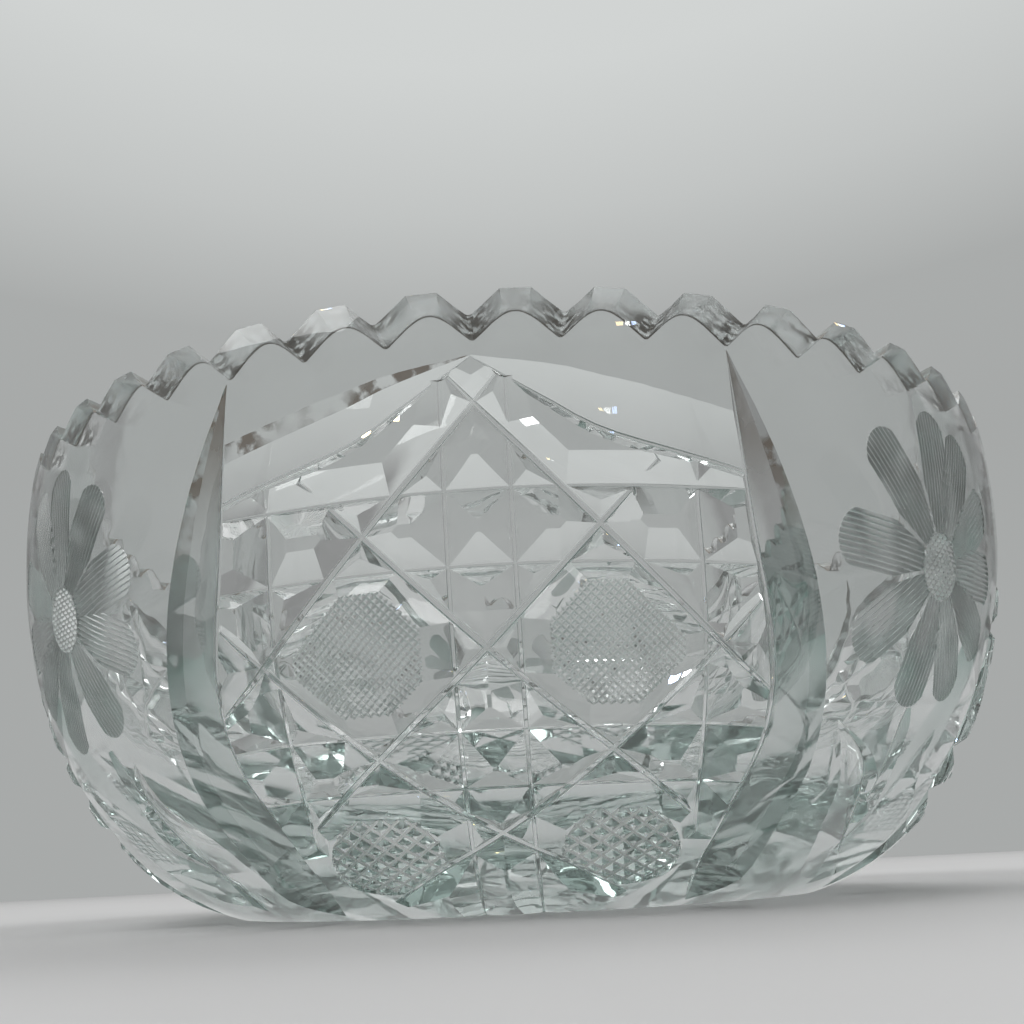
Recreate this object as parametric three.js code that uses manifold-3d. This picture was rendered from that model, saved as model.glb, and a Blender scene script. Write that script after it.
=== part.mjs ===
// A cut crystal bowl: one thick round body of clear glass, open at the top, standing on a flat base.
// Its rim is ground into teeth. Four lattice panels and four flower panels take turns round the wall.
// Millimetres, Z up, origin in the middle of the base, a lattice panel facing -Y.

import * as THREE from 'three';
import { mergeVertices, toCreasedNormals } from 'three/addons/utils/BufferGeometryUtils.js';
import Module from 'manifold-3d';

const wasm = await Module();
wasm.setup();

// The blank
const rimRadius = 101.6;
const bellyBulge = 0.5; // the belly stands out this far past the rim
const baseRadius = 57.4;
const bowlHeight = 82.6;
const lipHeight = 5.1; // from the belly up to the rim
const baseSpringLength = 29.6; // handle of the outer curve at the base
const baseSpringAngle = 15.2; // degrees above the table
const bellyHandle = 38.4; // handle of the outer curve under the belly
const rimWall = 9;
const floorThickness = 13;
const floorFlatRadius = 36;
const floorHandle = 50; // handle of the inner curve at the floor
const wallHandle = 34; // handle of the inner curve under the lip
const innerLipHeight = 4; // the inside runs straight down this far below the rim
const blankSides = 60;
const outerSteps = 9;
const innerSteps = 7;

// Rim teeth
const toothCount = 48;
const notchDepth = 4.3;
const notchWidth = 8.9;
const notchRootWidth = 0.8; // the root of a notch is slightly blunt
const notchTilt = 4.4; // degrees, deeper towards the inside
const notchOverrun = 5.4; // the wheel starts and ends this far off the wall

// Lattice panels, placed by u, mm sideways from the middle of the panel, and s, mm down the wall
const panelCount = 4;
const mitreDepth = 2.7;
const mitreHalfWidth = 4.3;
const slantDepth = 2.2; // the slanting mitres are cut less deep than the level and upright ones
const slantHalfWidth = 3.4;
const mitreEnd = 0.12; // the share of a mitre's length over which the wheel comes out of the glass
const buttonSideWidth = 2.6; // the steeper wall of the level mitre above the buttons
const cutterRise = 1.6; // how far a cutter stands out of the glass
const thinnest = 0.06; // depth at the tip of a cut
const latticeTop = 16.6; // first crossing, below the rim
const latticeFoot = 7; // last crossing, above the edge of the base
const latticeRows = 5;
const rowSwell = 0.157; // the upper rows are wider apart
const latticePitch = 16.6; // sideways, between crossings
const upperBandHalf = 5.2; // from a row of crossings to the level mitre above or below it
const lowerBandHalf = 4.6;
const lowerBandDrop = 0.9; // the lower pair of level mitres lies this far below its crossings
const innerColumn = 4.6; // the pair of upright mitres in the middle
const outerColumn = 30.8;
const outerColumnFoot = 28.4;
const runOff = 4; // how far the upright mitres run out past the edge of the base
const runOffDepth = 1.2;

// The share of its depth that a mitre still has where it ends
const mitreEndDepth = 0.5;
const outerColumnEndDepth = 0.6;
const slantEndDepth = 0.4;

// Slanting mitres, each through points that are given as column and row
const slants = [
  [[-1.5, 0.5], [-1, 1], [0, 2], [1, 3], [1.75, 3.8]],
  [[-0.2, -0.2], [0, 0], [1, 1], [2, 2], [2.45, 2.42]],
  [[-2.35, 1.6], [-2, 2], [-1, 3], [0, 4], [1, 5]],
];

// Steps along a cut, and points for finding where two lines meet
const mitreSteps = 5;
const outerColumnSteps = 4;
const frameSteps = 6;
const arcSteps = 4;
const leafSteps = 4;
const lineChecks = 60;
const creaseAngle = 20; // degrees, above which the edge between two facets is shown crisp

// The long bevelled mitres that frame a lattice panel
const frameTop = 9;
const frameDepth = 3;
const frameHalfTop = 36.4; // half width of the panel at the frame's tip
const frameHalfBelly = 42.1;
const frameHalfFoot = 27.5;
const frameBevel = 7; // width of the frame's broad side
const frameFoot = 3; // it runs out this far above the base's edge
const frameGrowth = 0.38; // the share of its length over which it reaches its full depth
const frameFade = 0.13; // and over which it runs out
const frameBellyRow = 2; // the row of crossings at which it stands out most
const frameUpper = [[0.8, 0.5]]; // rows above the belly, with the share of the way out to it
const frameLower = [[2.85, 0.1], [3.75, 0.5]]; // rows below it, with the share of the way in to the foot

// The two shallow arcs over a lattice panel
const arcTop = 10.6;
const arcDrop = 15.7;
const arcDepth = 2;
const arcBevel = 7;
const arcGrowth = 0.33;
const arcMiddle = [[0.25, 0.38], [0.5, 0.7]]; // points on its way, as shares of its reach and its drop

// Two long leaves in a flower panel. Their steep sides pass through points that are given as a turn
// from the panel's middle, in degrees, and a share of the way from leafTop down to the base.
const leafDepth = 1.8;
const leafTop = 60.5;
const leafGrowth = 0.6;
const leafFade = 0.25;
const rightLeafWidth = 13;
const leftLeafWidth = 9;
const rightLeaf = [[5.5, 0], [3, 0.18], [2.6, 0.4], [5, 0.85]];
const leftLeaf = [[-11.5, 0], [-5, 0.16], [-1.5, 0.33], [3, 0.58], [10, 0.78]];

// Star under the base
const starRays = 24;
const starInner = 6;
const starOuter = 44;
const starDepth = 1.4;
const starHalfWidth = 3.4;
const starWidest = 0.55; // the share of a ray's length at which it is widest

const toRadians = Math.PI / 180;

// The outer side of the wall, from the edge of the base up to the rim, as radius and height
const bellyRadius = rimRadius + bellyBulge;
const bellyHeight = bowlHeight - lipHeight;
const outerCurve = new THREE.CurvePath();
outerCurve.add(new THREE.CubicBezierCurve(
  new THREE.Vector2(baseRadius, 0),
  new THREE.Vector2(
    baseRadius + baseSpringLength * Math.cos(baseSpringAngle * toRadians),
    baseSpringLength * Math.sin(baseSpringAngle * toRadians),
  ),
  new THREE.Vector2(bellyRadius, bellyHeight - bellyHandle),
  new THREE.Vector2(bellyRadius, bellyHeight),
));
outerCurve.add(new THREE.QuadraticBezierCurve(
  new THREE.Vector2(bellyRadius, bellyHeight),
  new THREE.Vector2(bellyRadius, bellyHeight + lipHeight / 2),
  new THREE.Vector2(rimRadius, bowlHeight),
));
const wallLength = outerCurve.getLength();

// The inside, from the middle of the floor up to the rim
const innerLipRadius = rimRadius - rimWall;
const innerLipFoot = bowlHeight - innerLipHeight;
const innerCurve = new THREE.CubicBezierCurve(
  new THREE.Vector2(floorFlatRadius, floorThickness),
  new THREE.Vector2(floorFlatRadius + floorHandle, floorThickness),
  new THREE.Vector2(innerLipRadius, innerLipFoot - wallHandle),
  new THREE.Vector2(innerLipRadius, innerLipFoot),
);

function makeBlank() {
  const outline = [new THREE.Vector2(0, 0)];
  for (let i = 0; i <= outerSteps; i += 1) {
    outline.push(outerCurve.getPoint(i / outerSteps));
  }
  outline.push(new THREE.Vector2(innerLipRadius, bowlHeight));
  for (let i = innerSteps; i >= 0; i -= 1) {
    outline.push(innerCurve.getPoint(i / innerSteps));
  }
  outline.push(new THREE.Vector2(0, floorThickness));
  const blank = new THREE.LatheGeometry(outline, blankSides);
  blank.rotateX(Math.PI / 2);
  return blank;
}

// A closed geometry as a solid that can be cut
function toSolid(geometry) {
  const bare = geometry.clone();
  bare.deleteAttribute('normal');
  bare.deleteAttribute('uv');
  const merged = mergeVertices(bare, 1e-4);
  return new wasm.Manifold(new wasm.Mesh({
    numProp: 3,
    vertProperties: new Float32Array(merged.attributes.position.array),
    triVerts: new Uint32Array(merged.index.array),
  }));
}

// A solid through a row of rings that each hold the same number of corners
function loft(rings) {
  const size = rings[0].length;
  const position = rings.flat().flatMap((corner) => corner.toArray());
  const index = [];
  for (let i = 0; i + 1 < rings.length; i += 1) {
    for (let k = 0; k < size; k += 1) {
      const a = i * size + k;
      const b = i * size + (k + 1) % size;
      index.push(a, a + size, b, b, a + size, b + size);
    }
  }
  const last = (rings.length - 1) * size;
  for (let k = 1; k + 1 < size; k += 1) {
    index.push(0, k, k + 1);
    index.push(last, last + k + 1, last + k);
  }
  return new wasm.Manifold(new wasm.Mesh({
    numProp: 3,
    vertProperties: new Float32Array(position),
    triVerts: new Uint32Array(index),
  }));
}

// The place on the outside that lies s mm down the wall and u mm sideways from the direction turn
function wallPlace(u, s, turn) {
  const share = THREE.MathUtils.clamp(1 - s / wallLength, 0, 1);
  const point = outerCurve.getPoint(share);
  const slope = outerCurve.getTangent(share);
  const past = Math.max(0, s - wallLength);
  const angle = turn + u / point.x;
  point.addScaledVector(slope, -past);
  const outwards = new THREE.Vector3(Math.sin(angle), -Math.cos(angle), 0);
  const place = outwards.clone().multiplyScalar(point.x).setZ(point.y);
  const normal = outwards.clone().multiplyScalar(slope.y).setZ(-slope.x);
  return { place, normal };
}

// A wheel-cut mitre along a route on the wall. Each step of the route gives u, s, the depth of the
// cut there, and how far its two sides reach on the wall: left and right as seen along the route
// from outside.
function mitre(route, turn) {
  const rings = route.map((step, i) => {
    const before = route[Math.max(0, i - 1)];
    const after = route[Math.min(route.length - 1, i + 1)];
    const along = new THREE.Vector2(after.u - before.u, after.s - before.s).normalize();
    const { place, normal } = wallPlace(step.u, step.s, turn);
    const root = place.clone().addScaledVector(normal, -step.depth);
    const outTo = (reach) => {
      const edge = wallPlace(step.u - along.y * reach, step.s + along.x * reach, turn).place;
      return edge.sub(root).multiplyScalar(1 + cutterRise / step.depth).add(root);
    };
    return [root, outTo(step.right), outTo(-step.left)];
  });
  return loft(rings);
}

// Steps of a smooth route through a few knots of u and s, each with its sides
function smoothRoute(knots, count, sidesAt) {
  const line = new THREE.SplineCurve(knots.map(([u, s]) => new THREE.Vector2(u, s)));
  return Array.from({ length: count + 1 }, (_, i) => {
    const spot = line.getPoint(i / count);
    return { u: spot.x, s: spot.y, ...sidesAt(i / count) };
  });
}

const evenSides = { depth: mitreDepth, left: mitreHalfWidth, right: mitreHalfWidth };
const slantSides = { depth: slantDepth, left: slantHalfWidth, right: slantHalfWidth };

// The sides of a V that is the same all along, apart from its ends. They are cut less deep, to the
// shares start and end, where the wheel leaves the glass.
function tapered(sides, start, end) {
  return (share) => {
    const scale = Math.min(
      1,
      THREE.MathUtils.lerp(start, 1, share / mitreEnd),
      THREE.MathUtils.lerp(end, 1, (1 - share) / mitreEnd),
    );
    return { depth: sides.depth * scale, left: sides.left * scale, right: sides.right * scale };
  };
}

// The sides of a cut that is steep on one side and has a broad bevel on the other. It swells over
// the share growth of its length, and runs out over the share fade.
function bevelled({ depth, bevel, growth, fade, bevelLeft }) {
  const ease = (share) => Math.sin(Math.PI / 2 * Math.min(1, share));
  return (share) => {
    const swell = ease(share / growth) * (fade ? ease((1 - share) / fade) : 1);
    const deep = Math.max(thinnest, depth * swell);
    const broad = bevel * deep / depth;
    return { depth: deep, left: bevelLeft ? broad : deep, right: bevelLeft ? deep : broad };
  };
}

function mirrored(knots, hand) {
  return knots.map(([u, s]) => [hand * u, s]);
}

// Rows of crossings down the wall
function rowPlace(row) {
  const share = row / latticeRows;
  const span = wallLength - latticeFoot - latticeTop;
  return latticeTop + span * (share + rowSwell * share * (1 - share));
}

function crossing([column, row]) {
  return [column * latticePitch, rowPlace(row)];
}

// The root of the frame, from its tip down to the base
const frameEnd = wallLength - frameFoot;
const frameKnots = [
  [frameHalfTop, frameTop],
  ...frameUpper.map(([row, share]) => (
    [THREE.MathUtils.lerp(frameHalfTop, frameHalfBelly, share), rowPlace(row)]
  )),
  [frameHalfBelly, rowPlace(frameBellyRow)],
  ...frameLower.map(([row, share]) => (
    [THREE.MathUtils.lerp(frameHalfBelly, frameHalfFoot, share), rowPlace(row)]
  )),
  [frameHalfFoot, frameEnd],
];

function frameCuts(turn) {
  return [-1, 1].map((hand) => mitre(smoothRoute(mirrored(frameKnots, hand), frameSteps, bevelled({
    depth: frameDepth,
    bevel: frameBevel,
    growth: frameGrowth,
    fade: frameFade,
    bevelLeft: hand > 0,
  })), turn));
}

// Where a smooth line reaches a value along one axis, as its place on the other axis
function reachAlong(knots, from, value, to) {
  const line = new THREE.SplineCurve(knots.map(([u, s]) => new THREE.Vector2(u, s)));
  const spots = line.getPoints(lineChecks);
  const past = spots.findIndex((spot, i) => i > 0 && spot[from] >= value);
  const next = past < 0 ? lineChecks : past;
  const a = spots[next - 1];
  const b = spots[next];
  return THREE.MathUtils.mapLinear(value, a[from], b[from], a[to], b[to]);
}

function frameHalfAt(s) {
  return reachAlong(frameKnots, 'y', s, 'x');
}

// The root of an arc, from the middle of the panel to its frame
const arcFoot = arcTop + arcDrop;
const arcEnd = frameHalfAt(arcFoot);
const arcKnots = [
  [0, arcTop],
  ...arcMiddle.map(([reach, drop]) => [arcEnd * reach, arcTop + arcDrop * drop]),
  [arcEnd, arcFoot],
];

function arcCuts(turn) {
  return [-1, 1].map((hand) => mitre(smoothRoute(mirrored(arcKnots, hand), arcSteps, bevelled({
    depth: arcDepth,
    bevel: arcBevel,
    growth: arcGrowth,
    bevelLeft: hand > 0,
  })), turn));
}

function arcAt(u) {
  return reachAlong(arcKnots, 'x', u, 'y');
}

// Upright mitres: a pair in the middle, that run out over the base, and one along each frame
function uprightCuts(turn) {
  const foot = wallLength + runOff;
  const inner = [[innerColumn, arcAt(innerColumn)], [innerColumn, foot]];
  const outer = [
    [outerColumn, arcAt(outerColumn)],
    [outerColumn, rowPlace(frameBellyRow)],
    [outerColumnFoot, rowPlace(latticeRows - 1)],
  ];
  const innerEnds = tapered(evenSides, mitreEndDepth, runOffDepth / mitreDepth);
  const outerEnds = tapered(evenSides, mitreEndDepth, outerColumnEndDepth);
  return [-1, 1].flatMap((hand) => [
    mitre(smoothRoute(mirrored(inner, hand), mitreSteps, innerEnds), turn),
    mitre(smoothRoute(mirrored(outer, hand), outerColumnSteps, outerEnds), turn),
  ]);
}

// Level mitres, from frame to frame. The one above the buttons is steeper on their side.
function levelCuts(turn) {
  const broad = mitreHalfWidth;
  const lowerBand = rowPlace(3) + lowerBandDrop;
  const levels = [
    { s: rowPlace(1) - upperBandHalf, left: broad, right: broad },
    { s: rowPlace(1) + upperBandHalf, left: broad, right: buttonSideWidth },
    { s: lowerBand - lowerBandHalf, left: broad, right: broad },
    { s: lowerBand + lowerBandHalf, left: broad, right: broad },
  ];
  return levels.map(({ s, left, right }) => {
    const half = frameHalfAt(s);
    const sides = tapered({ depth: mitreDepth, left, right }, mitreEndDepth, mitreEndDepth);
    return mitre(smoothRoute([[-half, s], [half, s]], mitreSteps, sides), turn);
  });
}

// The slanting mitres, to both hands
function slantCuts(turn) {
  const sides = tapered(slantSides, slantEndDepth, slantEndDepth);
  return [-1, 1].flatMap((hand) => slants.map((line) => (
    mitre(smoothRoute(mirrored(line.map(crossing), hand), mitreSteps, sides), turn)
  )));
}

function wallRadius(s) {
  return outerCurve.getPoint(THREE.MathUtils.clamp(1 - s / wallLength, 0, 1)).x;
}

// Two long leaves that sweep down from under each flower
function leafCuts(turn) {
  const leaf = (spots, bevel, bevelLeft) => {
    const knots = spots.map(([degrees, share]) => {
      const s = THREE.MathUtils.lerp(leafTop, wallLength, share);
      return [degrees * toRadians * wallRadius(s), s];
    });
    return mitre(smoothRoute(knots, leafSteps, bevelled({
      depth: leafDepth,
      bevel,
      growth: leafGrowth,
      fade: leafFade,
      bevelLeft,
    })), turn);
  };
  return [leaf(rightLeaf, rightLeafWidth, true), leaf(leftLeaf, leftLeafWidth, false)];
}

function rimCuts() {
  const cuts = [];
  const half = notchWidth / 2;
  const wide = half * (notchDepth + cutterRise) / notchDepth;
  const profile = [
    [-notchRootWidth / 2, -notchDepth],
    [notchRootWidth / 2, -notchDepth],
    [wide, cutterRise],
    [-wide, cutterRise],
  ];
  for (let i = 0; i < toothCount; i += 1) {
    const angle = 2 * Math.PI * i / toothCount;
    const outwards = new THREE.Vector3(Math.sin(angle), -Math.cos(angle), 0);
    const sideways = new THREE.Vector3(Math.cos(angle), Math.sin(angle), 0);
    const rings = [notchOverrun, -rimWall - notchOverrun].map((past) => profile.map(([x, y]) => (
      outwards.clone().multiplyScalar(rimRadius + past)
        .addScaledVector(sideways, x)
        .setZ(bowlHeight + y + past * Math.tan(notchTilt * toRadians))
    )));
    cuts.push(loft(rings));
  }
  return cuts;
}

function starCuts() {
  const cuts = [];
  const stops = [
    [starInner, thinnest],
    [THREE.MathUtils.lerp(starInner, starOuter, starWidest), starDepth],
    [starOuter, thinnest],
  ];
  for (let i = 0; i < starRays; i += 1) {
    const angle = 2 * Math.PI * (i + 0.5) / starRays;
    const outwards = new THREE.Vector3(Math.sin(angle), -Math.cos(angle), 0);
    const sideways = new THREE.Vector3(Math.cos(angle), Math.sin(angle), 0);
    const rings = stops.map(([radius, depth]) => {
      const half = starHalfWidth * (depth + cutterRise) / starDepth;
      const foot = outwards.clone().multiplyScalar(radius);
      return [
        foot.clone().setZ(depth),
        foot.clone().addScaledVector(sideways, half).setZ(-cutterRise),
        foot.clone().addScaledVector(sideways, -half).setZ(-cutterRise),
      ];
    });
    cuts.push(loft(rings));
  }
  return cuts;
}

function makeBowl() {
  let solid = toSolid(makeBlank());
  const cuts = [...rimCuts(), ...starCuts()];
  for (let i = 0; i < panelCount; i += 1) {
    const turn = 2 * Math.PI * i / panelCount;
    const flowerTurn = turn + Math.PI / panelCount;
    cuts.push(...frameCuts(turn), ...arcCuts(turn), ...uprightCuts(turn), ...levelCuts(turn));
    cuts.push(...slantCuts(turn), ...leafCuts(flowerTurn));
  }
  for (const cut of cuts) {
    solid = solid.subtract(cut);
  }
  return solid;
}

function toGeometry(solid) {
  const mesh = solid.getMesh();
  const geometry = new THREE.BufferGeometry();
  geometry.setAttribute('position', new THREE.BufferAttribute(mesh.vertProperties, mesh.numProp));
  geometry.setIndex(new THREE.BufferAttribute(mesh.triVerts, 1));
  return toCreasedNormals(geometry, creaseAngle * toRadians);
}

const crystal = new THREE.MeshStandardMaterial({ color: 0xc9d3d1, roughness: 0.04, metalness: 0 });

const bowl = new THREE.Mesh(toGeometry(makeBowl()), crystal);
bowl.name = 'bowl';

const object = new THREE.Group();
object.add(bowl);

export default object;
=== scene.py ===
import math
import random

import bmesh
import bpy
import numpy as np
from mathutils import Matrix, Vector


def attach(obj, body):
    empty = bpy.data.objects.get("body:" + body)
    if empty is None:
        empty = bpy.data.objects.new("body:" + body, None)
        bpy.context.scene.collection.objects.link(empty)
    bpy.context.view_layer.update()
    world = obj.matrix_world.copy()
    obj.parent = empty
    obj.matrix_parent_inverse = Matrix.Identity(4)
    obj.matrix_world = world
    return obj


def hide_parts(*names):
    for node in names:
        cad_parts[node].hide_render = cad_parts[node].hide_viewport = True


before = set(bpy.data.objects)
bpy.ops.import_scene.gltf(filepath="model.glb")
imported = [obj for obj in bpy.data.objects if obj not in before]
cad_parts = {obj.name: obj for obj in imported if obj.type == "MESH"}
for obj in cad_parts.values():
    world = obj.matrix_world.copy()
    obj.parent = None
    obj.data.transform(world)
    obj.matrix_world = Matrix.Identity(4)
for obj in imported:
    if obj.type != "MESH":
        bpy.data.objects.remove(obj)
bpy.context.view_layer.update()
print("frame loaded")

mm = 0.001
dice = random.Random(48)  # places the small lamps

# Sizes below are in millimetres, as on the CAD part, and angles in degrees. A place on the wall is
# u, sideways from the middle of a panel, and s, down the wall from the rim.
blank = {
    "rimRadius": 101.6,
    "bellyBulge": 0.36,
    "baseRadius": 57.4,
    "height": 82.6,
    "lipHeight": 5.1,
    "springLength": 29.6,
    "springAngle": 15.2,
    "bellyHandle": 38.4,
    "rimWall": 9.0,
    "floorThickness": 13.0,
    "floorFlatRadius": 36.0,
    "floorHandle": 50.0,
    "wallHandle": 34.0,
    "innerLipHeight": 4.0,
    "wallPoints": 400,
    "lipPoints": 60,
    "sides": 192,
    "outerStep": 2.5,
    "innerStep": 4.0,
}

camera = {
    "turn": 2.45,  # to the right of the front panel
    "distance": 219.5,
    "height": 6.2,
    "yaw": 0.14,
    "pitch": 20.07,
    "roll": 2.87,
    "lens": 34.56,
    "sensor": 36,
    "nearest": 5,
}


def makeCamera():
    turn = math.radians(camera["turn"])
    yaw = math.radians(camera["yaw"])
    pitch = math.radians(camera["pitch"])
    roll = math.radians(camera["roll"])
    right = Vector((math.cos(yaw), -math.sin(yaw), 0))
    level = Vector((math.sin(yaw), math.cos(yaw), 0))
    up = Vector((0, 0, 1))
    ahead = level * math.cos(pitch) + up * math.sin(pitch)
    upright = up * math.cos(pitch) - level * math.sin(pitch)
    side = right * math.cos(roll) - upright * math.sin(roll)
    top = right * math.sin(roll) + upright * math.cos(roll)
    axes = Matrix((side, top, -ahead)).transposed().to_4x4()
    place = Matrix.Translation((0, -camera["distance"] * mm, camera["height"] * mm))
    data = bpy.data.cameras.new("camera")
    data.sensor_width = camera["sensor"]
    data.lens = camera["lens"]
    data.clip_start = camera["nearest"] * mm
    made = bpy.data.objects.new("camera", data)
    made.matrix_world = Matrix.Rotation(turn, 4, "Z") @ place @ axes
    bpy.context.scene.collection.objects.link(made)
    bpy.context.scene.camera = made


makeCamera()
bpy.context.scene.view_settings.view_transform = "Standard"
bpy.context.scene.cycles.max_bounces = 20  # cut glass reflects light inside itself many times
bpy.context.scene.cycles.glossy_bounces = 12
bpy.context.scene.cycles.transmission_bounces = 20
print("camera placed")


# A Bezier curve as dense points
def bezier(points, count):
    t = np.linspace(0, 1, count)[:, None]
    level = [np.array(p, float)[None, :] for p in points]
    while len(level) > 1:
        level = [a * (1 - t) + b * t for a, b in zip(level, level[1:])]
    return level[0]


# Radius and height of points down the outside of the wall, from the rim
def outerProfile():
    b = blank
    belly = b["rimRadius"] + b["bellyBulge"]
    bellyHeight = b["height"] - b["lipHeight"]
    angle = math.radians(b["springAngle"])
    lower = bezier([
        (b["baseRadius"], 0),
        (b["baseRadius"] + b["springLength"] * math.cos(angle), b["springLength"] * math.sin(angle)),
        (belly, bellyHeight - b["bellyHandle"]),
        (belly, bellyHeight),
    ], b["wallPoints"])
    upper = bezier([
        (belly, bellyHeight),
        (belly, bellyHeight + b["lipHeight"] / 2),
        (b["rimRadius"], b["height"]),
    ], b["lipPoints"])
    return np.vstack([lower, upper[1:]])[::-1]


# Radius and height of points up the inside of the wall, from the floor
def innerProfile():
    b = blank
    lip = b["rimRadius"] - b["rimWall"]
    foot = b["height"] - b["innerLipHeight"]
    floor = b["floorThickness"]
    curve = bezier([
        (b["floorFlatRadius"], floor),
        (b["floorFlatRadius"] + b["floorHandle"], floor),
        (lip, foot - b["wallHandle"]),
        (lip, foot),
    ], b["wallPoints"])
    return np.vstack([curve, [(lip, b["height"])]])


# How far along a line each of its points is
def lengths(points):
    return np.concatenate([[0], np.cumsum(np.hypot(*np.diff(points, axis=0).T))])


outerPoints = outerProfile()
outerLengths = lengths(outerPoints)
wallLength = outerLengths[-1]
innerPoints = innerProfile()
innerLengths = lengths(innerPoints)


def alongProfile(points, travelled, s):
    return np.array([np.interp(s, travelled, points[:, k]) for k in (0, 1)])


# Radius and height of the outside at s, and its direction down the wall, which is straight past
# its ends
def wallAt(s):
    step = 0.4
    inside = min(max(s, 0), wallLength)
    a = alongProfile(outerPoints, outerLengths, max(inside - step, 0))
    b = alongProfile(outerPoints, outerLengths, min(inside + step, wallLength))
    down = (b - a) / np.hypot(*(b - a))
    r, z = alongProfile(outerPoints, outerLengths, inside) + down * (s - inside)
    return r, z, down


# Unit vectors away from the bowl's axis and sideways round it, at an angle from the front
def outward(angle):
    return np.array([math.sin(angle), -math.cos(angle), 0])


def sideways(angle):
    return np.array([math.cos(angle), math.sin(angle), 0])


# A point on the outside of the wall, and the normal there
def wallPlace(u, s, turn):
    r, z, down = wallAt(s)
    out = outward(turn + u / r)
    place = out * r + np.array([0, 0, z])
    normal = -down[1] * out + np.array([0, 0, down[0]])
    return place, normal


# Each face has a mark, and edges between two marks stay crisp. These are the first marks of each
# kind of surface, whose other faces count up from there.
firstMark = {
    "outside": 0,
    "rim": 1,
    "inside": 2,
    "base": 3,
    "frames": 100,
    "arcs": 110,
    "innerColumns": 120,
    "outerColumns": 130,
    "slants": 140,
    "upperLevels": 150,
    "lowerLevels": 160,
    "notches": 200,
    "notchEnds": 202,
    "starRays": 210,
    "starEnds": 213,
    "leafRight": 220,
    "leafLeft": 230,
    "stems": 240,
    "upperFalling": 300,
    "lowerFalling": 305,
    "upperRising": 310,
    "lowerRising": 315,
    "petalsEven": 320,
    "petalsOdd": 325,
    "discFalling": 330,
    "discRising": 335,
    "seamsFalling": 340,
    "seamsRising": 350,
}


# Rows of points along a profile, from its far end back to its start
def backAlong(points, travelled, rows):
    return [alongProfile(points, travelled, travelled[-1] * (1 - i / rows)) for i in range(rows + 1)]


# The lathe-turned blank, as corners, faces and the mark of each face
def blankMesh():
    outerRows = int(wallLength / blank["outerStep"])
    innerRows = int(innerLengths[-1] / blank["innerStep"])
    rows = backAlong(outerPoints, outerLengths, outerRows)
    rows += backAlong(innerPoints, innerLengths, innerRows)
    rowMarks = [firstMark["outside"]] * outerRows + [firstMark["rim"]] + [firstMark["inside"]] * innerRows
    sides = blank["sides"]
    angles = np.arange(sides) * 2 * math.pi / sides
    corners = [(r * math.sin(a), -r * math.cos(a), z) for r, z in rows for a in angles]
    faces, marks = [], []
    for i, mark in enumerate(rowMarks):
        for k in range(sides):
            a, b = i * sides + k, i * sides + (k + 1) % sides
            faces.append((a, b, b + sides, a + sides))
            marks.append(mark)
    bottom, top = len(corners), len(corners) + 1
    corners += [(0, 0, 0), (0, 0, blank["floorThickness"])]
    last = (len(rows) - 1) * sides
    for k in range(sides):
        after = (k + 1) % sides
        faces.append((after, k, bottom))
        marks.append(firstMark["base"])
        faces.append((last + k, last + after, top))
        marks.append(firstMark["inside"])
    return corners, faces, marks


# The finishes of the glass, as places in the list of their materials
polished, satin, ground, edge, broad, soiled, hatched, coarse = range(8)
glassFinishes = [bpy.data.materials.new(name) for name in (
    "polished crystal", "satin petals", "ground rim", "mitre edges",
    "broad bevels", "soiled bevels", "cross hatching", "coarse hatching",
)]


# Closed solids that are gathered in one mesh, with the mark and the finish of each face
class Solids:
    def __init__(self):
        self.corners = []
        self.faces = []
        self.marks = []
        self.finishes = []

    def add(self, corners, faces, marks, finishes):
        start = len(self.corners)
        self.corners += [tuple(c) for c in corners]
        self.faces += [tuple(start + k for k in face) for face in faces]
        self.marks += marks
        self.finishes += finishes

    # A solid through rings of corners. sides gives the mark and the finish of each side between two
    # rings, and end is the mark of both ends.
    def loft(self, rings, sides, end):
        size, count = len(rings[0]), len(rings)
        faces, marks, finishes = [], [], []
        for i in range(count - 1):
            for k, (mark, finish) in enumerate(sides):
                a, b = i * size + k, i * size + (k + 1) % size
                faces.append((a, a + size, b + size, b))
                marks.append(mark)
                finishes.append(finish)
        faces.append(tuple(range(size)))
        faces.append(tuple(reversed(range((count - 1) * size, count * size))))
        self.add(np.vstack(rings), faces, marks + [end, end], finishes + [polished, polished])

    def mesh(self, name):
        made = bpy.data.meshes.new(name)
        made.from_pydata([Vector(c) * mm for c in self.corners], [], self.faces)
        made.attributes.new("mark", "INT", "FACE").data.foreach_set("value", self.marks)
        for material in glassFinishes:
            made.materials.append(material)
        made.polygons.foreach_set("material_index", self.finishes)
        return made


# A smooth line through knots of u and s, as points about a step apart and their share of the way
def smoothLine(knots, step):
    p = np.array(knots, float)
    p = np.vstack([2 * p[0] - p[1], p, 2 * p[-1] - p[-2]])
    t = np.linspace(0, 1, 40, endpoint=False)[:, None]  # 40 places between two knots
    runs = []
    for a, b, c, d in zip(p, p[1:], p[2:], p[3:]):
        squared = (2 * a - 5 * b + 4 * c - d) * t**2
        cubed = (3 * b - a - 3 * c + d) * t**3
        runs.append(0.5 * (2 * b + (c - a) * t + squared + cubed))
    dense = np.vstack(runs + [p[-2][None, :]])
    travelled = lengths(dense)
    count = max(2, round(travelled[-1] / step))
    share = np.linspace(0, 1, count + 1)
    line = np.stack([np.interp(share * travelled[-1], travelled, dense[:, k]) for k in (0, 1)], 1)
    return line, share


# Where a line reaches a value of u, with axis 0, or of s, with axis 1: the other of the two there
def reachAlong(knots, axis, value):
    line, _ = smoothLine(knots, 0.5)
    return float(np.interp(value, line[:, axis], line[:, 1 - axis]))


# hand is 1 on the right half of a panel and -1 on the left
def mirrored(knots, hand):
    return [(hand * u, s) for u, s in knots]


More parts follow.
